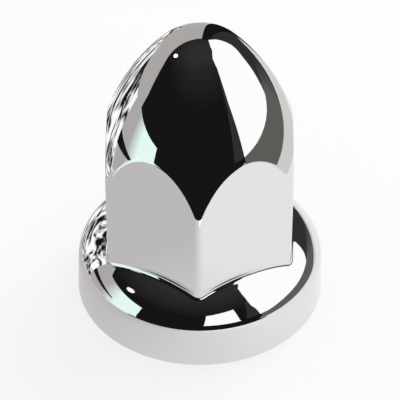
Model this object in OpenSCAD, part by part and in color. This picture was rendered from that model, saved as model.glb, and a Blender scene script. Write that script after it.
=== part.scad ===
// Push-on cover for a flanged wheel nut: a hexagonal cap with a bullet-shaped dome and a round flange.
// It is one hollow moulding. Up is the nose, the origin is the middle of the flange's foot, and one corner
// of the hexagon faces the front (-Y).

/* [Cap] */
// Height from the flange's foot to the tip of the nose
cap_h = 63.5; // [61:0.5:67]
// Thickness of the moulded wall
wall = 2; // [1.6:0.1:2.4]

/* [Nut] */
// Width of the wheel nut across its flats
nut_af = 33; // [32:0.25:34]
// Height of the nut's top face above the flange's foot
nut_top_z = 37; // [33:0.5:40]
// Gap between a flat of the nut and the socket's wall, half-way up the nut
nut_gap = 0.4; // [0.2:0.05:0.5]

/* [Hexagon] */
// Lean of each flat from the vertical, for release from the mould
hex_draft = 1; // [0.5:0.25:1.5]
// Radius of the hexagon's upright corners
hex_corner_r = 2; // [1:0.25:3]
// Radius of the socket's upright corners
socket_corner_r = 0.5; // [0.25:0.05:0.9]

/* [Dome] */
// Diameter of the dome at its widest, where the flats still hide it
dome_d = 43.7; // [43:0.1:45]
// Height at which the dome is widest
dome_z = 26.5; // [24:0.5:28]
// Radius of the rounded nose
nose_r = 11.5; // [10:0.25:14]

/* [Flange] */
// Diameter of the flange at its foot
flange_d = 53; // [52:0.5:56]
// Height of the flange's upright rim, up to its rounded upper edge
rim_h = 8.3; // [7:0.1:9.5]
// Lean of the rim from the vertical
rim_draft = 3.5; // [2:0.5:6]
// Radius of the rim's rounded upper edge
rim_edge_r = 4.5; // [3:0.25:6]
// Radius of the shoulder between that edge and the hexagon
shoulder_r = 14; // [12:0.5:16]
// How far the edge turns inwards before it runs into the shoulder, as the slope of a line square to it
shoulder_slope = 35; // [30:1:40]
// Radius of the two edges of the rim's foot
foot_r = 0.5; // [0.3:0.05:0.7]

/* [Grip] */
// Radius of the half-round ribs that grip the nut
rib_r = 0.8; // [0.6:0.1:1]
// How far the ribs bite into the space of the nut's flats
rib_bite = 0.1; // [0.05:0.05:0.2]
// Distance between the two ribs of one flat
rib_spacing = 9; // [6:0.5:11]
// Length of the tapered lead at the lower end of a rib
rib_lead = 2; // [1:0.5:4]
// Thickness of the fins that stop the nut
fin_t = 1.4; // [1:0.1:1.8]
// Distance of the fins' inner edges from the middle
fin_inner_r = 13; // [11:0.5:14]

/* [Hidden] */
$fn = 128;

SIDES = 6;
SIDE_TURN = 360 / SIDES;
HALF_TURN = SIDE_TURN / 2;
// Larger than the cap, for the blocks that cut it and the shafts that run through it
BEYOND = 200;
// How far a cutting shape passes the face that it cuts
PASS = 1;

// Two arcs that run into each other without a crease overlap by this much, so that they cross cleanly
OVERLAP = 0.002;

// The hexagon is measured half-way up the nut
grip_z = nut_top_z / 2;
corner_draft = atan(tan(hex_draft) / cos(HALF_TURN));
function hex_apothem(inset) = nut_af / 2 + nut_gap + (wall - inset) / cos(hex_draft);

// The dome's side is one arc that runs into the nose's arc
dome_r = dome_d / 2;
dome_rise = cap_h - dome_z;
ogive_r = (pow(dome_r, 2) + pow(dome_rise, 2) - 2 * nose_r * dome_rise) / (2 * (dome_r - nose_r));
ogive_x = dome_r - ogive_r;
nose_z = cap_h - nose_r;
nose_angle = atan2(nose_z - dome_z, -ogive_x);

// The upright rim runs into its edge's arc, which runs into the shoulder's arc
rim_r = flange_d / 2;
rim_edge_x = rim_r - rim_h * tan(rim_draft) - rim_edge_r * cos(rim_draft);
rim_edge_z = rim_h - rim_edge_r * sin(rim_draft);
shoulder_x = rim_edge_x - (shoulder_r - rim_edge_r) * cos(shoulder_slope);
shoulder_z = rim_edge_z - (shoulder_r - rim_edge_r) * sin(shoulder_slope);
function rim_x(inset, z) = rim_r - inset / cos(rim_draft) - z * tan(rim_draft);

// Half section of the bullet, set in from the outer skin by the inset. Below the dome's widest place it is
// wider than the hexagon, which cuts it, and its lower end lies within the flange.
module dome_section(inset) {
    side_top_z = nose_z + (nose_r - inset) * sin(nose_angle);
    foot_z = rim_h - rim_edge_r;
    translate([0, foot_z])
        square([dome_r + PASS, dome_z - foot_z]);
    intersection() {
        translate([ogive_x, dome_z])
            circle(ogive_r - inset);
        translate([0, dome_z - PASS])
            square([dome_r + PASS, cap_h]);
        union() {
            translate([0, dome_z - PASS])
                square([dome_r + PASS, side_top_z - dome_z + PASS]);
            translate([0, nose_z])
                circle(nose_r - inset + OVERLAP);
        }
    }
}

// Half section of the flange as a solid disc from the given height up, set in from the outer skin
module flange_section(inset, foot_z) {
    rim_top_z = rim_h - inset * sin(rim_draft);
    top_z = shoulder_z + shoulder_r + PASS;
    intersection() {
        polygon([[0, foot_z], [rim_x(inset, foot_z), foot_z], [rim_x(inset, top_z), top_z], [0, top_z]]);
        union() {
            translate([0, foot_z])
                square([rim_r + PASS, rim_top_z - foot_z]);
            translate([rim_edge_x, rim_edge_z])
                circle(rim_edge_r - inset + OVERLAP);
            translate([shoulder_x, shoulder_z])
                shoulder_arc_section(inset);
        }
    }
}

// The part of the shoulder's circle above its first slope, about the circle's own middle
module shoulder_arc_section(inset) {
    reach = 2 * shoulder_r;
    intersection() {
        circle(shoulder_r - inset);
        polygon([
            [0, 0], [reach * cos(shoulder_slope), reach * sin(shoulder_slope)],
            [0, reach], [-shoulder_x, reach], [-shoulder_x, 0]
        ]);
    }
}

// Half section of what the rounding of the rim's foot takes away: side is 1 for the outer edge, where the
// rim leans away from the edge, and -1 for the inner edge
module foot_edge_waste(side) {
    lean = 1 + side * sin(rim_draft);
    edge_x = rim_x(side > 0 ? 0 : wall, 0);
    arc_x = edge_x - side * foot_r * lean / cos(rim_draft);
    difference() {
        translate([min(arc_x, arc_x + side * 2 * foot_r), -PASS])
            square([2 * foot_r, PASS + foot_r * lean]);
        translate([arc_x, foot_r])
            circle(foot_r + OVERLAP);
    }
}

// All the space on one side of a plane that leans inwards as it rises
module behind_leaning_plane(distance, lean) {
    translate([distance, 0, grip_z])
        rotate([0, -lean, 0])
            translate([-BEYOND, -BEYOND / 2, -BEYOND / 2])
                cube(BEYOND);
}

// Tall hexagonal shaft with leaning flats and round corners
module hexagon_shaft(inset, corner_r) {
    apothem = hex_apothem(inset);
    corner_middle = (apothem - corner_r) / cos(HALF_TURN);
    intersection_for (side = [0 : SIDES - 1]) {
        rotate(side * SIDE_TURN)
            intersection() {
                behind_leaning_plane(apothem, hex_draft);
                rotate(HALF_TURN)
                    behind_leaning_plane(corner_middle + corner_r * cos(HALF_TURN), corner_draft);
            }
    }
    for (side = [0 : SIDES - 1])
        rotate(HALF_TURN + side * SIDE_TURN)
            translate([corner_middle, 0, grip_z])
                rotate([0, -corner_draft, 0])
                    cylinder(h = BEYOND / 2, r = corner_r * cos(hex_draft) + OVERLAP, center = true);
}

// The bullet with its six flats: a turned dome cut by the hexagonal shaft
module bullet(inset, corner_r) {
    intersection() {
        rotate_extrude()
            dome_section(inset);
        hexagon_shaft(inset, corner_r);
    }
}

// Upright half-round ribs, two on each wall of the socket, that grip the nut's flats
module grip_ribs() {
    rib_x = nut_af / 2 - rib_bite + rib_r;
    rib_foot_z = shoulder_z + shoulder_r;
    for (side = [0 : SIDES - 1], along = [-1, 1])
        rotate(side * SIDE_TURN)
            translate([rib_x, along * rib_spacing / 2, rib_foot_z]) {
                cylinder(h = rib_lead, r1 = rib_r / 4, r2 = rib_r);
                translate([0, 0, rib_lead])
                    cylinder(h = nut_top_z - rib_foot_z - rib_lead, r = rib_r);
            }
}

// Fins in the six corners of the dome that stop the nut at its top face
module stop_fins() {
    intersection() {
        bullet(wall / 2, hex_corner_r);
        for (side = [0 : SIDES - 1])
            rotate(HALF_TURN + side * SIDE_TURN)
                translate([fin_inner_r, -fin_t / 2, nut_top_z])
                    cube([dome_r, fin_t, cap_h]);
    }
}

// The whole cover
module nut_cover() {
    color("silver") {
        difference() {
            union() {
                bullet(0, hex_corner_r);
                rotate_extrude()
                    flange_section(0, 0);
            }
            bullet(wall, socket_corner_r);
            rotate_extrude()
                flange_section(wall, -PASS);
            for (side = [-1, 1])
                rotate_extrude()
                    foot_edge_waste(side);
        }
        grip_ribs();
        stop_fins();
    }
}

nut_cover();
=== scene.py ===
"""A chrome-plated cover cap for a wheel nut, standing on its flange in a small photo studio.

The cap is one hollow moulding. Its skins are lofted ring by ring, from the tip of the nose outside to the
tip of the dome's hollow inside. Sizes are in metres, in the frame of the construction: up is the nose, the
origin is the middle of the flange's foot, and one corner of the hexagon faces the front (-Y).
"""

from __future__ import annotations

import logging
import math
from dataclasses import dataclass, field
from enum import Enum

import bmesh
import bpy
from mathutils import Matrix, Vector


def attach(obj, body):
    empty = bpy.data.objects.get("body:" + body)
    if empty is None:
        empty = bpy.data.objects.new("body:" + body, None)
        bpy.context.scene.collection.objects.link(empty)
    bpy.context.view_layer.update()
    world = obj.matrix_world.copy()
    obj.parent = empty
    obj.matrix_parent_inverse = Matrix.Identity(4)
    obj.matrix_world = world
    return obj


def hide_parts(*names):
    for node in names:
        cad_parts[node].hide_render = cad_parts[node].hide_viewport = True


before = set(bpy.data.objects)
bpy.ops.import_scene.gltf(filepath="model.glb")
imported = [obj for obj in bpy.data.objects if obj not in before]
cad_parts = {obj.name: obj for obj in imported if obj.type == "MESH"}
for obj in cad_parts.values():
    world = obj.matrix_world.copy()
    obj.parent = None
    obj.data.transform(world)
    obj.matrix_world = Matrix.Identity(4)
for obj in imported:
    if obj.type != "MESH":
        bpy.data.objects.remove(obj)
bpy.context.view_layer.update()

LOG = logging.getLogger("nut_cover")

MM = 0.001
SIDES = 6
SIDE_TURN = math.tau / SIDES
HALF_TURN = SIDE_TURN / 2
# How often a height is worked out anew from the last one, which is more than it needs to settle
SETTLE_ROUNDS = 12
# Vertices closer than this become one, in metres
MERGE_DISTANCE = 1e-7


@dataclass(frozen=True)
class CapSizes:
    """The cap's driving sizes, as the construction has them."""

    height: float = 63.5 * MM
    wall: float = 2 * MM
    nut_across_flats: float = 33 * MM
    nut_top_z: float = 37 * MM
    nut_gap: float = 0.4 * MM
    hexagon_draft: float = math.radians(1)
    corner_radius: float = 2 * MM
    socket_corner_radius: float = 0.5 * MM
    dome_radius: float = 43.7 * MM / 2
    dome_z: float = 26.5 * MM
    nose_radius: float = 11.5 * MM
    flange_radius: float = 53 * MM / 2
    rim_height: float = 8.3 * MM
    rim_draft: float = math.radians(3.5)
    rim_edge_radius: float = 4.5 * MM
    shoulder_radius: float = 14 * MM
    shoulder_slope: float = math.radians(35)
    foot_edge_radius: float = 0.5 * MM
    foot_fillet_radius: float = 1.2 * MM
    arch_edge_radius: float = 1.5 * MM
    rib_radius: float = 0.8 * MM
    rib_bite: float = 0.1 * MM
    rib_spacing: float = 9 * MM
    rib_lead: float = 2 * MM
    fin_thickness: float = 1.4 * MM
    fin_inner_radius: float = 13 * MM


@dataclass(frozen=True)
class Column:
    """One upright line of the cap's mesh, by its place on the rounded hexagon.

    Attributes:
        side: Which flat it lies on, or which flat the corner follows.
        along: Place across the flat, from -1 to 1.
        turn: How far round the corner it lies, in radians. It is 0 on the flat.
    """

    side: int
    along: float
    turn: float


@dataclass(frozen=True)
class HexagonSkin:
    """A leaning hexagon with round corners: the body's outer skin, or the socket's, set in by the wall."""

    sizes: CapSizes
    inset: float
    corner_radius: float

    def apothem(self, z: float) -> float:
        """Gives the distance of the flats from the axis at height z."""
        sizes = self.sizes
        wall = (sizes.wall - self.inset) / math.cos(sizes.hexagon_draft)
        at_grip = sizes.nut_across_flats / 2 + sizes.nut_gap + wall
        return at_grip - (z - sizes.nut_top_z / 2) * math.tan(sizes.hexagon_draft)

    def point(self, column: Column, z: float) -> Vector:
        """Gives the skin's point on a column at height z."""
        core = self.apothem(z) - self.corner_radius
        x = core + self.corner_radius * math.cos(column.turn)
        y = column.along * core * math.tan(HALF_TURN) + self.corner_radius * math.sin(column.turn)
        return Matrix.Rotation(column.side * SIDE_TURN, 3, "Z") @ Vector((x, y, z))

    def normal(self, column: Column) -> Vector:
        """Gives the skin's outward normal on a column."""
        lean = math.tan(self.sizes.hexagon_draft)
        across, round_corner = math.cos(column.turn), math.sin(column.turn)
        rise = lean * (across + math.tan(HALF_TURN) * round_corner)
        turned = Matrix.Rotation(column.side * SIDE_TURN, 3, "Z") @ Vector((across, round_corner, rise))
        return turned.normalized()


@dataclass(frozen=True)
class DomeSkin:
    """The turned dome, a side arc that runs into the nose's arc, set in from the outer skin by the inset."""

    sizes: CapSizes
    inset: float

    @property
    def side_radius(self) -> float:
        """The radius of the outer skin's side arc."""
        sizes = self.sizes
        rise = sizes.height - sizes.dome_z
        bulge = sizes.dome_radius**2 + rise**2 - 2 * sizes.nose_radius * rise
        return bulge / (2 * (sizes.dome_radius - sizes.nose_radius))

    @property
    def side_centre(self) -> float:
        """The distance of the side arc's centre from the axis, which is negative beyond it."""
        return self.sizes.dome_radius - self.side_radius

    @property
    def nose_slope(self) -> float:
        """The normal's elevation where the side arc meets the nose's arc."""
        nose_z = self.sizes.height - self.sizes.nose_radius
        return math.atan2(nose_z - self.sizes.dome_z, -self.side_centre)

    def point(self, heading: float, slope: float) -> Vector:
        """Gives the point in a direction round the axis where the normal rises by the slope."""
        sizes = self.sizes
        if slope < self.nose_slope:
            radius, centre, centre_z = self.side_radius - self.inset, self.side_centre, sizes.dome_z
        else:
            radius, centre, centre_z = sizes.nose_radius - self.inset, 0.0, sizes.height - sizes.nose_radius
        return round_point(heading, centre + radius * math.cos(slope), centre_z + radius * math.sin(slope))

    def slope_at(self, reach: float) -> float:
        """Gives the slope where the side arc is this far from the axis."""
        return math.acos((reach - self.side_centre) / (self.side_radius - self.inset))


@dataclass(frozen=True)
class FlangeSkin:
    """The turned flange: an upright rim, its rounded upper edge and a round shoulder.

    It is set in from the outer skin by the inset.
    """

    sizes: CapSizes
    inset: float

    @property
    def edge_reach(self) -> float:
        """The distance of the rim edge's centre from the axis."""
        sizes = self.sizes
        rim = sizes.flange_radius - sizes.rim_height * math.tan(sizes.rim_draft)
        return rim - sizes.rim_edge_radius * math.cos(sizes.rim_draft)

    @property
    def edge_z(self) -> float:
        """The height of the rim edge's centre."""
        return self.sizes.rim_height - self.sizes.rim_edge_radius * math.sin(self.sizes.rim_draft)

    @property
    def shoulder_reach(self) -> float:
        """The distance of the shoulder arc's centre from the axis."""
        spread = self.sizes.shoulder_radius - self.sizes.rim_edge_radius
        return self.edge_reach - spread * math.cos(self.sizes.shoulder_slope)

    @property
    def shoulder_z(self) -> float:
        """The height of the shoulder arc's centre."""
        spread = self.sizes.shoulder_radius - self.sizes.rim_edge_radius
        return self.edge_z - spread * math.sin(self.sizes.shoulder_slope)

    @property
    def shoulder_radius(self) -> float:
        """The shoulder's radius."""
        return self.sizes.shoulder_radius - self.inset

    def shoulder_centre(self, heading: float) -> Vector:
        """Gives the centre of the shoulder's arc in a direction round the axis."""
        return round_point(heading, self.shoulder_reach, self.shoulder_z)

    def shoulder_rise(self, reach: float) -> float:
        """Gives the shoulder's height at this distance from the axis."""
        return self.shoulder_z + math.sqrt(self.shoulder_radius**2 - (reach - self.shoulder_reach) ** 2)

    def point(self, heading: float, slope: float) -> Vector:
        """Gives the point above the rim where the normal rises by the slope."""
        if slope > self.sizes.shoulder_slope:
            reach, z, radius = self.shoulder_reach, self.shoulder_z, self.shoulder_radius
        else:
            reach, z, radius = self.edge_reach, self.edge_z, self.sizes.rim_edge_radius - self.inset
        return round_point(heading, reach + radius * math.cos(slope), z + radius * math.sin(slope))

    def rim_point(self, heading: float, z: float) -> Vector:
        """Gives the rim's point at height z."""
        sizes = self.sizes
        reach = sizes.flange_radius - self.inset / math.cos(sizes.rim_draft) - z * math.tan(sizes.rim_draft)
        return round_point(heading, reach, z)


def round_point(heading: float, reach: float, z: float) -> Vector:
    """Gives the point in a direction round the axis, at a distance from it and a height."""
    return Vector((reach * math.cos(heading), reach * math.sin(heading), z))


def heading_of(point: Vector) -> float:
    """Gives the direction of a point round the axis, in radians."""
    return math.atan2(point.y, point.x)


def reach_of(point: Vector) -> float:
    """Gives the distance of a point from the axis."""
    return math.hypot(point.x, point.y)


def steps(low: float, high: float, count: int) -> list[float]:
    """Gives count + 1 evenly spaced values from low to high, both ends with them."""
    return [low + (high - low) * index / count for index in range(count + 1)]


@dataclass
class RingLoft:
    """A skin made of rings with one vertex on each column, each ring extruded from the one before.

    Attributes:
        mesh: The bmesh that the skin is made in.
        ring_size: How many vertices a ring has.
        closed: Whether the rings are closed. Open ones are rows.
    """

    mesh: bmesh.types.BMesh
    ring_size: int
    closed: bool = True
    _edges: list[bmesh.types.BMEdge] = field(default_factory=list)

    def add_ring(self, places: list[Vector], material: int = 0) -> list[bmesh.types.BMEdge]:
        """Extrudes the next ring and moves its vertices to their places.

        Args:
            places: One place for each column.
            material: The material of the faces between this ring and the one before.

        Returns:
            The new ring's edges.
        """
        layer = self.mesh.verts.layers.int.get("column") or self.mesh.verts.layers.int.new("column")
        if not self._edges:
            if self.closed:
                verts = bmesh.ops.create_circle(self.mesh, segments=self.ring_size, radius=1.0)["verts"]
            else:
                verts = [self.mesh.verts.new() for _ in places]
                for pair in zip(verts, verts[1:]):
                    self.mesh.edges.new(pair)
            for index, vert in enumerate(verts):
                vert[layer] = index
                vert.co = places[index]
            self._edges = list({edge for vert in verts for edge in vert.link_edges})
            return self._edges
        made = bmesh.ops.extrude_edge_only(self.mesh, edges=self._edges)["geom"]
        row = {part for part in made if isinstance(part, bmesh.types.BMVert)}
        for part in made:
            if isinstance(part, bmesh.types.BMVert):
                part.co = places[part[layer]]
            elif isinstance(part, bmesh.types.BMFace):
                part.material_index = material
        self._edges = [
            part
            for part in made
            if isinstance(part, bmesh.types.BMEdge) and all(vert in row for vert in part.verts)
        ]
        return self._edges


def finish_mesh(mesh: bmesh.types.BMesh, name: str, materials: list[bpy.types.Material]) -> bpy.types.Object:
    """Closes a bmesh, turns its faces outwards, shades it smooth and makes it an object at the origin.

    Args:
        mesh: The bmesh, which is freed.
        name: The new object's name.
        materials: Its materials, in the order of the faces' material indices.

    Returns:
        The new object.
    """
    bmesh.ops.remove_doubles(mesh, verts=mesh.verts, dist=MERGE_DISTANCE)
    bmesh.ops.recalc_face_normals(mesh, faces=mesh.faces)
    for face in mesh.faces:
        face.smooth = True
    data = bpy.data.meshes.new(name)
    mesh.to_mesh(data)
    mesh.free()
    for material in materials:
        data.materials.append(material)
    made = bpy.data.objects.new(name, data)
    bpy.context.scene.collection.objects.link(made)
    return made


@dataclass
class CapShell:
    """The cap's wall: the flange, the hexagonal body and the dome, outside and inside."""

    sizes: CapSizes
    flat_steps: int = 32
    corner_steps: int = 10
    side_rings: int = 34
    arch_rings: int = 6
    nose_rings: int = 26
    wall_rings: int = 6
    fillet_rings: int = 10
    shoulder_rings: int = 14
    edge_rings: int = 10
    rim_rings: int = 4
    foot_rings: int = 5

    def columns(self) -> list[Column]:
        """Gives the mesh's columns round the hexagon, closer together where the arches are steep."""
        made = []
        for side in range(SIDES):
            for share in steps(-math.pi / 2, math.pi / 2, self.flat_steps):
                made.append(Column(side, math.sin(share), 0.0))
            made += [Column(side, 1.0, turn) for turn in steps(0, SIDE_TURN, self.corner_steps)[1:-1]]
        return made

    def arch_z(self, hexagon: HexagonSkin, dome: DomeSkin, column: Column) -> float:
        """Gives the height at which a column of the hexagon runs into the dome."""
        z = self.sizes.nut_top_z
        for _ in range(SETTLE_ROUNDS):
            slope = dome.slope_at(reach_of(hexagon.point(column, z)))
            z = dome.point(0.0, slope).z
        return z

    def arch_ball(self, column: Column) -> tuple[Vector, float]:
        """Rolls a ball of the arches' edge radius inside the body and the dome, along their edge.

        Args:
            column: The column that the ball touches.

        Returns:
            The ball's centre, and the dome's slope where the ball touches it.
        """
        radius = self.sizes.arch_edge_radius
        hexagon = HexagonSkin(self.sizes, radius, self.sizes.corner_radius - radius)
        dome = DomeSkin(self.sizes, radius)
        centre = hexagon.point(column, self.arch_z(hexagon, dome, column))
        return centre, dome.slope_at(reach_of(centre))

    def fillet_ball(
        self, hexagon: HexagonSkin, flange: FlangeSkin, column: Column
    ) -> tuple[Vector, float]:
        """Rolls a ball of the fillet's radius into the corner between the flange's shoulder and the body.

        Args:
            hexagon: The body's outer skin.
            flange: The flange's outer skin.
            column: The column that the ball touches.

        Returns:
            The ball's centre, and the height at which it touches the body.
        """
        radius = self.sizes.foot_fillet_radius
        z = flange.shoulder_z + flange.shoulder_radius
        for _ in range(SETTLE_ROUNDS):
            centre = hexagon.point(column, z) + radius * hexagon.normal(column)
            out = reach_of(centre) - flange.shoulder_reach
            z += flange.shoulder_z + math.sqrt((flange.shoulder_radius + radius) ** 2 - out**2) - centre.z
        return centre, z

    def outer_rings(self, hexagon: HexagonSkin, columns: list[Column]) -> list[list[Vector]]:
        """Works out the outer skin's rings, from the tip of the nose down to the rim's foot.

        Args:
            hexagon: The body's outer skin.
            columns: The mesh's columns.

        Returns:
            The rings.
        """
        sizes = self.sizes
        dome = DomeSkin(sizes, 0.0)
        flange = FlangeSkin(sizes, 0.0)
        lines = []
        for column in columns:
            ball, edge_slope = self.arch_ball(column)
            slopes = steps(math.pi / 2, dome.nose_slope, self.nose_rings)
            slopes += steps(dome.nose_slope, edge_slope, self.side_rings)[1:]
            line = [dome.point(heading_of(ball), slope) for slope in slopes]
            toward_dome = (line[-1] - ball).normalized()
            for share in steps(0, 1, self.arch_rings)[1:]:
                direction = toward_dome.slerp(hexagon.normal(column), share)
                line.append(ball + sizes.arch_edge_radius * direction)
            ball, foot_z = self.fillet_ball(hexagon, flange, column)
            line += [hexagon.point(column, z) for z in steps(line[-1].z, foot_z, self.wall_rings)[1:]]
            heading = heading_of(ball)
            toward_wall = -hexagon.normal(column)
            toward_shoulder = (flange.shoulder_centre(heading) - ball).normalized()
            for share in steps(0, 1, self.fillet_rings)[1:]:
                line.append(ball + sizes.foot_fillet_radius * toward_wall.slerp(toward_shoulder, share))
            start = math.atan2(-toward_shoulder.z, math.sqrt(1 - toward_shoulder.z**2))
            slopes = steps(start, sizes.shoulder_slope, self.shoulder_rings)[1:]
            slopes += steps(sizes.shoulder_slope, sizes.rim_draft, self.edge_rings)[1:]
            line += [flange.point(heading, slope) for slope in slopes]
            edge_z = sizes.foot_edge_radius * (1 + math.sin(sizes.rim_draft))
            heights = steps(sizes.rim_height, edge_z, self.rim_rings)[1:]
            line += [flange.rim_point(heading, z) for z in heights]
            line += self.foot_edge(flange, heading, 1)
            lines.append(line)
        return [list(ring) for ring in zip(*lines)]

    def foot_edge(self, flange: FlangeSkin, heading: float, side: int) -> list[Vector]:
        """Works out one rounded edge of the rim's foot.

        Args:
            flange: The skin that the edge belongs to.
            heading: The direction round the axis.
            side: 1 for the outer edge, from the rim down to the foot, and -1 for the inner one, from the
                foot up to the rim.

        Returns:
            The edge's points, without the point on the outer rim, which is there already.
        """
        sizes = self.sizes
        radius, draft = sizes.foot_edge_radius, sizes.rim_draft
        foot_reach = reach_of(flange.rim_point(heading, 0.0))
        middle = foot_reach - side * radius * (1 + side * math.sin(draft)) / math.cos(draft)
        slopes = steps(draft, -math.pi / 2, self.foot_rings)[1:]
        if side < 0:
            slopes = steps(-math.pi / 2, -math.pi - draft, self.foot_rings)
        return [
            round_point(heading, middle + radius * math.cos(slope), radius * (1 + math.sin(slope)))
            for slope in slopes
        ]

    def inner_rings(
        self, hexagon: HexagonSkin, columns: list[Column]
    ) -> tuple[list[list[Vector]], list[int]]:
        """Works out the inner skin's rings, from the rim's foot up to the tip of the dome's hollow.

        Args:
            hexagon: The socket's skin.
            columns: The mesh's columns.

        Returns:
            The rings, and the indices of those with a crease: the socket's mouth and its arches.
        """
        sizes = self.sizes
        dome = DomeSkin(sizes, sizes.wall)
        flange = FlangeSkin(sizes, sizes.wall)
        lines = []
        for column in columns:
            mouth_z = sizes.rim_height
            for _ in range(SETTLE_ROUNDS):
                mouth_z = flange.shoulder_rise(reach_of(hexagon.point(column, mouth_z)))
            mouth = hexagon.point(column, mouth_z)
            heading = heading_of(mouth)
            line = self.foot_edge(flange, heading, -1)
            rim_top = sizes.rim_height - sizes.wall * math.sin(sizes.rim_draft)
            line += [flange.rim_point(heading, z) for z in steps(line[-1].z, rim_top, self.rim_rings)[1:]]
            mouth_slope = math.asin((mouth_z - flange.shoulder_z) / flange.shoulder_radius)
            slopes = steps(sizes.rim_draft, sizes.shoulder_slope, self.edge_rings)[1:]
            slopes += steps(sizes.shoulder_slope, mouth_slope, self.shoulder_rings)[1:]
            line += [flange.point(heading, slope) for slope in slopes]
            top_z = self.arch_z(hexagon, dome, column)
            line += [hexagon.point(column, z) for z in steps(mouth_z, top_z, self.wall_rings)[1:]]
            arch = hexagon.point(column, top_z)
            slopes = steps(dome.slope_at(reach_of(arch)), dome.nose_slope, self.side_rings)[1:]
            slopes += steps(dome.nose_slope, math.pi / 2, self.nose_rings)[1:]
            line += [dome.point(heading_of(arch), slope) for slope in slopes]
            lines.append(line)
        mouth_ring = self.foot_rings + self.rim_rings + self.edge_rings + self.shoulder_rings
        return [list(ring) for ring in zip(*lines)], [mouth_ring, mouth_ring + self.wall_rings]

    def build(self, outside: bpy.types.Material, inside: bpy.types.Material) -> bpy.types.Object:
        """Builds the shell.

        Args:
            outside: The material of the outer skin.
            inside: The material of the hollow.

        Returns:
            The shell's object.
        """
        sizes = self.sizes
        columns = self.columns()
        mesh = bmesh.new()
        loft = RingLoft(mesh, len(columns))
        body = HexagonSkin(sizes, 0.0, sizes.corner_radius)
        for ring in self.outer_rings(body, columns):
            loft.add_ring(ring)
        socket = HexagonSkin(sizes, sizes.wall, sizes.socket_corner_radius)
        inner, creases = self.inner_rings(socket, columns)
        for index, ring in enumerate(inner):
            edges = loft.add_ring(ring, material=min(index, 1))
            if index in creases:
                for edge in edges:
                    edge.smooth = False
        return finish_mesh(mesh, "cap_shell", [outside, inside])


@dataclass
class GripRibs:
    """The half-round ribs on the walls of the socket, which grip the nut's flats."""

    sizes: CapSizes
    segments: int = 24

    def build(self, finish: bpy.types.Material) -> bpy.types.Object:
        """Builds two upright ribs on each wall of the socket.

        Args:
            finish: The material of the ribs.

        Returns:
            The ribs' object.
        """
        sizes = self.sizes
        flange = FlangeSkin(sizes, 0.0)
        foot_z = flange.shoulder_z + flange.shoulder_radius
        reach = sizes.nut_across_flats / 2 - sizes.rib_bite + sizes.rib_radius
        section = [
            Vector((0, 0, foot_z)),
            Vector((sizes.rib_radius / 4, 0, foot_z)),
            Vector((sizes.rib_radius, 0, foot_z + sizes.rib_lead)),
            Vector((sizes.rib_radius, 0, sizes.nut_top_z)),
            Vector((0, 0, sizes.nut_top_z)),
        ]
        mesh = bmesh.new()
        for side in range(SIDES):
            for along in (-1, 1):
                old = set(mesh.verts)
                verts = [mesh.verts.new(place) for place in section]
                edges = [mesh.edges.new(pair) for pair in zip(verts, verts[1:])]
                bmesh.ops.spin(
                    mesh,
                    geom=[*verts, *edges],
                    cent=(0, 0, 0),
                    axis=(0, 0, 1),
                    angle=math.tau,
                    steps=self.segments,
                    use_merge=True,
                )
                shift = Matrix.Translation((reach, along * sizes.rib_spacing / 2, 0))
                place = Matrix.Rotation(side * SIDE_TURN, 4, "Z") @ shift
                made = [vert for vert in mesh.verts if vert not in old]
                bmesh.ops.transform(mesh, matrix=place, verts=made)
        return finish_mesh(mesh, "grip_ribs", [finish])


@dataclass
class StopFins:
    """The fins in the corners of the dome's hollow, which stop the nut at its top face."""

    sizes: CapSizes
    arc_steps: int = 12

    def build(self, finish: bpy.types.Material) -> bpy.types.Object:
        """Builds one upright fin in each corner.

        Args:
            finish: The material of the fins.

        Returns:
            The fins' object.
        """
        sizes = self.sizes
        mid_wall = DomeSkin(sizes, sizes.wall / 2)
        low = math.asin((sizes.nut_top_z - sizes.dome_z) / (mid_wall.side_radius - mid_wall.inset))
        high = mid_wall.slope_at(sizes.fin_inner_radius)
        outline = [Vector((sizes.fin_inner_radius, 0, sizes.nut_top_z))]
        outline += [mid_wall.point(0.0, slope) for slope in steps(low, high, self.arc_steps)]
        mesh = bmesh.new()
        for side in range(SIDES):
            verts = [mesh.verts.new(place - Vector((0, sizes.fin_thickness / 2, 0))) for place in outline]
            face = mesh.faces.new(verts)
            made = bmesh.ops.extrude_face_region(mesh, geom=[face])["geom"]
            far = [part for part in made if isinstance(part, bmesh.types.BMVert)]
            bmesh.ops.translate(mesh, verts=far, vec=(0, sizes.fin_thickness, 0))
            turn = Matrix.Rotation(HALF_TURN + side * SIDE_TURN, 3, "Z")
            bmesh.ops.rotate(mesh, verts=verts + far, matrix=turn)
        made = finish_mesh(mesh, "stop_fins", [finish])
        for polygon in made.data.polygons:
            polygon.use_smooth = False
        return made


class Value:
    """A shader socket that can stand in Python sums: an expression on values adds its Math nodes."""

    def __init__(self, graph: ShaderGraph, socket: bpy.types.NodeSocket) -> None:
        """Wraps a socket of a graph."""
        self.graph = graph
        self.socket = socket

    def _join(self, operation: str, first: Value | float, second: Value | float) -> Value:
        """Adds a Math node and wraps its result."""
        return self.graph.node("ShaderNodeMath", {"operation": operation}, {0: first, 1: second})

    def __add__(self, other: Value | float) -> Value:
        """Adds."""
        return self._join("ADD", self, other)

    __radd__ = __add__

    def __mul__(self, other: Value | float) -> Value:
        """Multiplies."""
        return self._join("MULTIPLY", self, other)

    __rmul__ = __mul__

    def __sub__(self, other: Value | float) -> Value:
        """Subtracts."""
        return self._join("SUBTRACT", self, other)

    def __rsub__(self, other: Value | float) -> Value:
        """Subtracts this value from a number."""
        return self._join("SUBTRACT", other, self)


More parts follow.
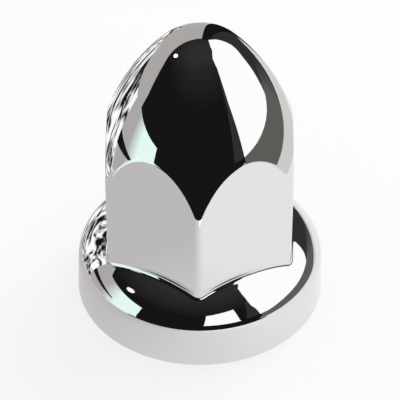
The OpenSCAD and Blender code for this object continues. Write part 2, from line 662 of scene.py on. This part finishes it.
class ShaderGraph:
    """The nodes of one material or of the world, and the one method that makes them."""

    def __init__(self, tree: bpy.types.NodeTree) -> None:
        """Empties the node tree that the graph is made in."""
        self.tree = tree
        tree.nodes.clear()

    def node(
        self,
        kind: str,
        settings: dict[str, object] | None = None,
        values: dict[str | int, object] | None = None,
        result: str | int = 0,
    ) -> Value:
        """Adds a node.

        Args:
            kind: The node's type.
            settings: Its settings, set first. The stops of a colour ramp are given as "stops", a list of
                places with their colours.
            values: The values or links of its sockets, by name or number.
            result: The output to wrap.

        Returns:
            The wrapped output.
        """
        made = self.tree.nodes.new(kind)
        for name, value in (settings or {}).items():
            if name == "stops":
                for stop, (place, colour) in zip(made.color_ramp.elements, value):
                    stop.position = place
                    stop.color = (*colour, 1)
            else:
                setattr(made, name, value)
        for name, value in (values or {}).items():
            if isinstance(value, Value):
                self.tree.links.new(value.socket, made.inputs[name])
            else:
                made.inputs[name].default_value = value
        return Value(self, made.outputs[result] if made.outputs else None)


def new_graph(name: str) -> tuple[bpy.types.Material, ShaderGraph]:
    """Makes a material with an empty graph."""
    material = bpy.data.materials.new(name)
    material.use_nodes = True
    return material, ShaderGraph(material.node_tree)


@dataclass(frozen=True)
class BrightChrome:
    """Bright chrome plating: a mirror with faint waves of the moulding under it and faint wipe marks."""

    colour: tuple[float, float, float] = (0.83, 0.83, 0.83)
    cool_colour: tuple[float, float, float] = (0.77, 0.78, 0.785)
    tone_size: float = 30 * MM
    roughness: float = 0.018
    wipe_roughness: float = 0.05
    wipe_size: float = 5 * MM
    wipe_start: float = 0.5
    wipe_full: float = 0.8
    wave_size: float = 9 * MM
    wave_height: float = 0.012 * MM

    def build(self) -> bpy.types.Material:
        """Makes the material."""
        material, graph = new_graph("bright_chrome")
        place = graph.node("ShaderNodeTexCoord", result="Object")
        tone = graph.node(
            "ShaderNodeTexNoise",
            values={"Vector": place, "Scale": 1 / self.tone_size, "Detail": 2.0},
            result="Fac",
        )
        colour = graph.node(
            "ShaderNodeMix",
            {"data_type": "RGBA"},
            {"Factor": tone, "A": (*self.colour, 1), "B": (*self.cool_colour, 1)},
            result="Result",
        )
        wipes = graph.node(
            "ShaderNodeTexNoise",
            values={"Vector": place, "Scale": 1 / self.wipe_size, "Detail": 5.0, "Distortion": 1.5},
            result="Fac",
        )
        stops = [(self.wipe_start, (0, 0, 0)), (self.wipe_full, (1, 1, 1))]
        marks = graph.node("ShaderNodeValToRGB", {"stops": stops}, {"Fac": wipes})
        waves = graph.node(
            "ShaderNodeTexNoise",
            values={"Vector": place, "Scale": 1 / self.wave_size, "Detail": 1.0},
            result="Fac",
        )
        bump = graph.node(
            "ShaderNodeBump", values={"Strength": 1.0, "Distance": self.wave_height, "Height": waves}
        )
        shader = graph.node(
            "ShaderNodeBsdfPrincipled",
            values={
                "Base Color": colour,
                "Metallic": 1.0,
                "Roughness": marks * self.wipe_roughness + self.roughness,
                "Normal": bump,
            },
        )
        graph.node("ShaderNodeOutputMaterial", values={"Surface": shader})
        return material


@dataclass(frozen=True)
class ThinPlating:
    """The thin, dull plating of the hollow, where little metal reaches."""

    colour: tuple[float, float, float] = (0.42, 0.425, 0.43)
    dark_colour: tuple[float, float, float] = (0.24, 0.245, 0.25)
    roughness: float = 0.28
    cloud_roughness: float = 0.2
    cloud_size: float = 8 * MM

    def build(self) -> bpy.types.Material:
        """Makes the material."""
        material, graph = new_graph("thin_plating")
        place = graph.node("ShaderNodeTexCoord", result="Object")
        clouds = graph.node(
            "ShaderNodeTexNoise",
            values={"Vector": place, "Scale": 1 / self.cloud_size, "Detail": 4.0},
            result="Fac",
        )
        colour = graph.node(
            "ShaderNodeMix",
            {"data_type": "RGBA"},
            {"Factor": clouds, "A": (*self.colour, 1), "B": (*self.dark_colour, 1)},
            result="Result",
        )
        shader = graph.node(
            "ShaderNodeBsdfPrincipled",
            values={
                "Base Color": colour,
                "Metallic": 1.0,
                "Roughness": clouds * self.cloud_roughness + self.roughness,
            },
        )
        graph.node("ShaderNodeOutputMaterial", values={"Surface": shader})
        return material


class CardTone(Enum):
    """How bright a card of the studio looks, as red, green and blue."""

    BLACK = (0.009, 0.009, 0.009)
    DARK = (0.035, 0.034, 0.033)
    DARK_GREY = (0.135, 0.13, 0.122)
    TAUPE = (0.50, 0.475, 0.465)
    # The two floor tones are painted shade and light of the mirrored floor: the darker one at the left, the
    # paler one at the right.
    FLOOR_SHADED_LEFT = (0.61, 0.59, 0.585)
    PALE_GREY = (0.74, 0.73, 0.72)
    FLOOR_LIT_RIGHT = (0.96, 0.945, 0.935)
    MINT = (0.95, 1.16, 1.11)
    WHITE = (1.22, 1.22, 1.20)
    LAMP = (4.0, 4.0, 4.0)


@dataclass(frozen=True)
class CardCorner:
    """One end of a card's row, seen from the cap.

    Attributes:
        turn: How far to the right of the camera's side it stands, in degrees.
        reach: Its distance from the cap's axis, in millimetres.
        z: Its height above the floor, in millimetres.
    """

    turn: float
    reach: float
    z: float


CardRow = tuple[CardCorner, CardCorner]


def card_row(start: float, end: float, reach: float, z: float) -> CardRow:
    """Gives a level row round the cap, from one turn to another."""
    return CardCorner(start, reach, z), CardCorner(end, reach, z)


@dataclass
class Studio:
    """The pale floor, the lamp, the cards that the chrome mirrors, and the camera.

    Attributes:
        floor_colour: The floor's colour.
        floor_roughness: The floor's roughness.
        floor_size: The length of the floor's sides.
        floor_glow: How much of the floor the camera sees as plain white.
        ambient: How strongly the world lights what isn't a mirror.
        lamp_place: Where the lamp hangs.
        lamp_size: The length of the lamp's sides.
        lamp_power: The lamp's power, in watts.
        camera_place: Where the camera stands.
        camera_aim: The point that the camera looks at.
        half_view: Half of the camera's viewing angle.
        sensor: The width of the camera's sensor, in millimetres.
        clip_range: The nearest and the farthest distance that the camera sees.
        spot_end: How close to its poles a small round card ends, as a slope in radians.
        spot_steps: How many strips a small round card has.
        dapple_scale: How often the dappled card's streaks repeat per metre, along each axis.
        dapple_stops: Where in the noise the streaks are black and where they are white.
        tent_reach: The tent's radius, in millimetres.
        tent_step: The slope between two rows of the tent, in degrees.
        tent_dark: The share of the tent's height up to which it is black.
        card_step: The turn between two columns of a card, in degrees.
    """

    floor_colour: tuple[float, float, float] = (0.92, 0.92, 0.92)
    floor_roughness: float = 0.8
    floor_size: float = 6.0
    floor_glow: float = 0.76
    ambient: float = 0.7
    lamp_place: Vector = field(default_factory=lambda: Vector((0.35, 0.35, 0.55)))
    lamp_size: float = 0.5
    lamp_power: float = 2.2
    camera_place: Vector = field(default_factory=lambda: Vector((3.0 * MM, -223.0 * MM, 206.5 * MM)))
    camera_aim: Vector = field(default_factory=lambda: Vector((0.0, 0.0, 22 * MM)))
    half_view: float = math.radians(8.2)
    sensor: float = 36.0
    clip_range: tuple[float, float] = (0.01, 20.0)
    spot_end: float = 1.4
    spot_steps: int = 6
    dapple_scale: tuple[float, float, float] = (52.0, 52.0, 30.0)
    dapple_stops: tuple[float, float] = (0.44, 0.60)
    tent_reach: float = 1500.0
    tent_step: int = 5
    tent_dark: float = 0.6
    card_step: float = 3.0

    def build_floor(self) -> None:
        """Lays the floor, which the camera sees paler than it is lit, with the cap's shadow on it."""
        mesh = bmesh.new()
        bmesh.ops.create_grid(mesh, x_segments=1, y_segments=1, size=self.floor_size / 2)
        material, graph = new_graph("pale_floor")
        shader = graph.node(
            "ShaderNodeBsdfPrincipled",
            values={"Base Color": (*self.floor_colour, 1), "Roughness": self.floor_roughness},
        )
        glow = graph.node("ShaderNodeEmission", values={"Color": (1, 1, 1, 1), "Strength": 1.0})
        camera = graph.node("ShaderNodeLightPath", result="Is Camera Ray")
        mixed = graph.node("ShaderNodeMixShader", values={0: camera * self.floor_glow, 1: shader, 2: glow})
        graph.node("ShaderNodeOutputMaterial", values={"Surface": mixed})
        finish_mesh(mesh, "floor", [material])

    def card_material(self, tone: CardTone) -> bpy.types.Material:
        """Gives the material of a card's tone, made on its first use."""
        name = f"card_{tone.name.lower()}"
        if name in bpy.data.materials:
            return bpy.data.materials[name]
        material, graph = new_graph(name)
        glow = graph.node("ShaderNodeEmission", values={"Color": (*tone.value, 1), "Strength": 1.0})
        graph.node("ShaderNodeOutputMaterial", values={"Surface": glow})
        return material

    def ramp_material(
        self, name: str, axis: str, stops: list[tuple[float, CardTone]]
    ) -> bpy.types.Material:
        """Makes a card's material that goes from one tone to the next along an axis.

        Args:
            name: The material's name.
            axis: The axis, as X, Y or Z.
            stops: The two places along it, in millimetres, each with its tone.

        Returns:
            The material.
        """
        material, graph = new_graph(name)
        place = graph.node("ShaderNodeTexCoord", result="Object")
        along = graph.node("ShaderNodeSeparateXYZ", values={"Vector": place}, result=axis)
        (low, low_tone), (high, high_tone) = stops
        share = (along - low * MM) * (1 / ((high - low) * MM))
        ramp = [(0.0, low_tone.value), (1.0, high_tone.value)]
        colour = graph.node("ShaderNodeValToRGB", {"stops": ramp}, {"Fac": share})
        glow = graph.node("ShaderNodeEmission", values={"Color": colour, "Strength": 1.0})
        graph.node("ShaderNodeOutputMaterial", values={"Surface": glow})
        return material

    def dappled_material(self) -> bpy.types.Material:
        """Makes the material of the dappled card: black and white streaks, longer than they are wide."""
        material, graph = new_graph("dappled_card")
        place = graph.node("ShaderNodeTexCoord", result="Object")
        stretched = graph.node("ShaderNodeMapping", values={"Vector": place, "Scale": self.dapple_scale})
        streaks = graph.node(
            "ShaderNodeTexNoise",
            values={"Vector": stretched, "Scale": 1.0, "Detail": 2.0, "Distortion": 2.2},
            result="Fac",
        )
        stops = list(zip(self.dapple_stops, (CardTone.BLACK.value, CardTone.WHITE.value)))
        colour = graph.node("ShaderNodeValToRGB", {"stops": stops}, {"Fac": streaks})
        glow = graph.node("ShaderNodeEmission", values={"Color": colour, "Strength": 1.0})
        graph.node("ShaderNodeOutputMaterial", values={"Surface": glow})
        return material

    def build_card(self, name: str, material: bpy.types.Material, rows: list[CardRow]) -> None:
        """Hangs a card round the cap, which shows only in reflections.

        Args:
            name: The card's name.
            material: Its material.
            rows: Its rows, from its foot to its head.
        """
        widest = max(abs(end.turn - start.turn) for start, end in rows)
        count = max(2, round(widest / self.card_step))
        mesh = bmesh.new()
        loft = RingLoft(mesh, count + 1, closed=False)
        for start, end in rows:
            places = []
            for share in steps(0, 1, count):
                turn = math.radians(start.turn + (end.turn - start.turn) * share)
                reach = start.reach + (end.reach - start.reach) * share
                z = start.z + (end.z - start.z) * share
                places.append(MM * Vector((reach * math.sin(turn), -reach * math.cos(turn), z)))
            loft.add_ring(places)
        card = finish_mesh(mesh, name, [material])
        card.visible_camera = False
        card.visible_diffuse = False
        card.visible_shadow = False

    def build_tent(self) -> None:
        """Hangs the black tent all round, and lays the black cloth where the pale floor ends."""
        top = self.tent_reach
        stops = [(self.tent_dark * top, CardTone.BLACK), (top, CardTone.DARK)]
        rows = []
        for degrees in range(0, 90, self.tent_step):
            slope = math.radians(degrees)
            rows.append(card_row(-180, 180, top * math.cos(slope), top * math.sin(slope)))
        rows.append(card_row(-180, 180, 1.0, top))
        self.build_card("tent", self.ramp_material("tent_cloth", "Z", stops), rows)
        black = self.card_material(CardTone.BLACK)
        self.build_card("floor_cloth", black, [card_row(-53, 50, 75, 0.4), card_row(-53, 50, top, 0.5)])

    def build_floor_sheets(self) -> None:
        """Lays the sheets that the flats and the rim mirror in place of the floor, dimmer at the left, which
        is painted shade, and far to the right.
        """
        # Painted shade and light: the near sheet goes from dark at the left, as floor in shadow, to pale at
        # the right, as lit floor.
        stops = [(-33, CardTone.FLOOR_SHADED_LEFT), (26, CardTone.FLOOR_LIT_RIGHT)]
        near = self.ramp_material("shaded_floor_sheet", "X", stops)
        rows = [card_row(-180, 180, 26.3, 0.05), card_row(-180, 180, 110, 0.05)]
        self.build_card("shaded_floor_sheet", near, rows)
        far = self.card_material(CardTone.PALE_GREY)
        self.build_card("far_sheet", far, [card_row(50, 180, 110, 0.2), card_row(50, 180, 240, 0.2)])
        mint = self.card_material(CardTone.MINT)
        self.build_card("mint_sheet", mint, [card_row(-51, -75, 82, 0.15), card_row(-50, -76, 114, 0.15)])

    def build_right_cards(self) -> None:
        """Stands the tall softbox at the right, and the grey and the dark card under and behind it."""
        softbox = [
            (CardCorner(50, 170, 57), CardCorner(113, 450, 82)),
            (CardCorner(50, 200, 110), CardCorner(121, 450, 130)),
            (CardCorner(50, 330, 250), CardCorner(135, 450, 275)),
            (CardCorner(52, 500, 500), CardCorner(150, 330, 388)),
            (CardCorner(58, 500, 800), CardCorner(157, 300, 460)),
            (CardCorner(70, 450, 1060), CardCorner(160, 280, 470)),
            (CardCorner(95, 300, 850), CardCorner(135, 240, 620)),
        ]
        self.build_card("softbox", self.card_material(CardTone.WHITE), softbox)
        frame_rows = []
        for width, (start, _) in zip((12, 9, 5, 4), softbox):
            frame_rows.append((CardCorner(start.turn - width, start.reach, start.z), start))
        self.build_card("softbox_frame", self.card_material(CardTone.DARK), frame_rows)
        grey = self.ramp_material("grey_card", "Y", [(150, CardTone.DARK_GREY), (260, CardTone.DARK)])
        grey_card = [
            (CardCorner(50, 140, 0.6), CardCorner(164, 300, 0.6)),
            (CardCorner(50, 169, 57), CardCorner(164, 470, 81)),
            (CardCorner(112, 470, 82), CardCorner(164, 470, 82)),
            (CardCorner(119, 470, 130), CardCorner(164, 470, 130)),
            (CardCorner(132, 470, 275), CardCorner(164, 470, 275)),
            (CardCorner(147, 470, 530), CardCorner(164, 470, 530)),
        ]
        self.build_card("grey_card", grey, grey_card)
        black = self.card_material(CardTone.BLACK)
        self.build_card("dark_card", black, [card_row(160, 176, 130, 0.6), card_row(160, 176, 140, 280)])

    def build_left_cards(self) -> None:
        """Stands the mint panel at the left with a slit, the taupe wall behind it and the dappled card."""
        wall = [
            (CardCorner(-90, 300, 0.6), CardCorner(-184, 300, 0.6)),
            (CardCorner(-90, 300, 142), CardCorner(-184, 300, 142)),
            (CardCorner(-93, 300, 170), CardCorner(-184, 300, 170)),
            (CardCorner(-100, 300, 220), CardCorner(-184, 300, 220)),
            (CardCorner(-112, 300, 300), CardCorner(-184, 300, 300)),
            (CardCorner(-129, 270, 360), CardCorner(-184, 270, 360)),
            (CardCorner(-164, 250, 430), CardCorner(-184, 250, 420)),
        ]
        self.build_card("left_wall", self.card_material(CardTone.TAUPE), wall)
        mint = self.ramp_material("mint_panel", "Y", [(-42, CardTone.MINT), (-14, CardTone.TAUPE)])
        panel = [
            (CardCorner(-48, 115, 0.3), CardCorner(-98, 120, 0.3)),
            (CardCorner(-48, 115, 62), CardCorner(-98, 120, 76)),
        ]
        self.build_card("mint_panel", mint, panel)
        slit = [
            (CardCorner(-72, 111, 28.5), CardCorner(-100, 111, 24)),
            (CardCorner(-72, 111, 31), CardCorner(-100, 111, 36)),
        ]
        self.build_card("slit", self.card_material(CardTone.BLACK), slit)
        dapples = [card_row(-118, -168, 46, 0.4), card_row(-98, -168, 98, 3), card_row(-101, -168, 104, 64)]
        self.build_card("dappled_card", self.dappled_material(), dapples)

    def spot_rows(self, low: CardCorner, high: CardCorner, spread: float) -> list[CardRow]:
        """Gives the rows of a small round card.

        Args:
            low: The middle of its lower edge.
            high: The middle of its upper edge.
            spread: The turn between its two sides, in degrees.

        Returns:
            Its rows, from the lower edge upwards.
        """
        rows = []
        for angle in steps(-self.spot_end, self.spot_end, self.spot_steps):
            share = (1 + math.sin(angle)) / 2
            half = spread * math.cos(angle) / 2
            reach = low.reach + share * (high.reach - low.reach)
            rows.append(card_row(low.turn + half, low.turn - half, reach, low.z + share * (high.z - low.z)))
        return rows

    def build_small_cards(self) -> None:
        """Hangs the small round lights by the nose and the flange, and the white cards before the flange;
        the one on the floor is painted light.
        """
        lamp, white = self.card_material(CardTone.LAMP), self.card_material(CardTone.WHITE)
        nose_rows = self.spot_rows(CardCorner(-78, 15.6, 71.6), CardCorner(-78, 14.6, 74.4), 11)
        self.build_card("nose_lamp", lamp, nose_rows)
        left_rows = self.spot_rows(CardCorner(-59.5, 50, 35), CardCorner(-59.5, 50, 41.5), 8)
        self.build_card("left_spot", white, left_rows)
        patch = [
            card_row(2.9, 27.8, 50, 17.4),
            (CardCorner(4.8, 39.1, 23.7), CardCorner(23.9, 38.5, 25.9)),
        ]
        self.build_card("front_patch", white, patch)
        # Painted light: a white strip on the floor before the flange stands for floor lit by the lamp, which
        # the rim mirrors as a bright line.
        self.build_card("painted_light_strip", white, [card_row(3, 30, 62, 0.3), card_row(3, 30, 74, 0.3)])

    def build_lamp(self) -> None:
        """Hangs a soft square lamp that looks at the cap and doesn't show in it."""
        data = bpy.data.lights.new("key_lamp", "AREA")
        data.shape = "SQUARE"
        data.size = self.lamp_size
        data.energy = self.lamp_power
        lamp = bpy.data.objects.new("key_lamp", data)
        lamp.location = self.lamp_place
        lamp.rotation_euler = (-self.lamp_place).to_track_quat("-Z", "Y").to_euler()
        lamp.visible_glossy = False
        bpy.context.scene.collection.objects.link(lamp)

    def build_world(self) -> None:
        """Lights the studio from all round. The camera and the chrome see it white."""
        world = bpy.data.worlds.new("studio")
        bpy.context.scene.world = world
        world.use_nodes = True
        graph = ShaderGraph(world.node_tree)
        camera = graph.node("ShaderNodeLightPath", result="Is Camera Ray")
        glossy = graph.node("ShaderNodeLightPath", result="Is Glossy Ray")
        seen = camera + glossy
        strength = seen * (1 - self.ambient) + self.ambient
        sky = graph.node("ShaderNodeBackground", values={"Color": (1, 1, 1, 1), "Strength": strength})
        graph.node("ShaderNodeOutputWorld", values={"Surface": sky})

    def build_camera(self) -> None:
        """Sets up the camera at the photograph's viewing angle."""
        data = bpy.data.cameras.new("camera")
        data.sensor_width = self.sensor
        data.lens = self.sensor / 2 / math.tan(self.half_view)
        data.clip_start, data.clip_end = self.clip_range
        camera = bpy.data.objects.new("camera", data)
        camera.location = self.camera_place
        camera.rotation_euler = (self.camera_aim - self.camera_place).to_track_quat("-Z", "Y").to_euler()
        bpy.context.scene.collection.objects.link(camera)
        bpy.context.scene.camera = camera

    def build(self) -> None:
        """Builds the whole studio."""
        self.build_camera()
        self.build_floor()
        self.build_tent()
        self.build_floor_sheets()
        self.build_right_cards()
        self.build_left_cards()
        self.build_small_cards()
        self.build_lamp()
        self.build_world()
        bpy.context.scene.view_settings.view_transform = "Standard"


def weigh_normals(piece: bpy.types.Object) -> None:
    """Lets the large faces set the normals, so that the flats mirror as planes."""
    modifier = piece.modifiers.new("weighted_normals", "WEIGHTED_NORMAL")
    modifier.keep_sharp = True


def main() -> None:
    """Builds the cap and its studio, and ties the pieces to the construction."""
    logging.basicConfig(level=logging.INFO, format="%(message)s")
    sizes = CapSizes()
    Studio().build()
    chrome, plating = BrightChrome().build(), ThinPlating().build()
    shell = CapShell(sizes).build(chrome, plating)
    weigh_normals(shell)
    pieces = [shell, GripRibs(sizes).build(plating), StopFins(sizes).build(plating)]
    for piece in pieces:
        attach(piece, "root")
        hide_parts("nut_cover")
        LOG.info("%s: %d faces", piece.name, len(piece.data.polygons))


if __name__ == "__main__":
    main()
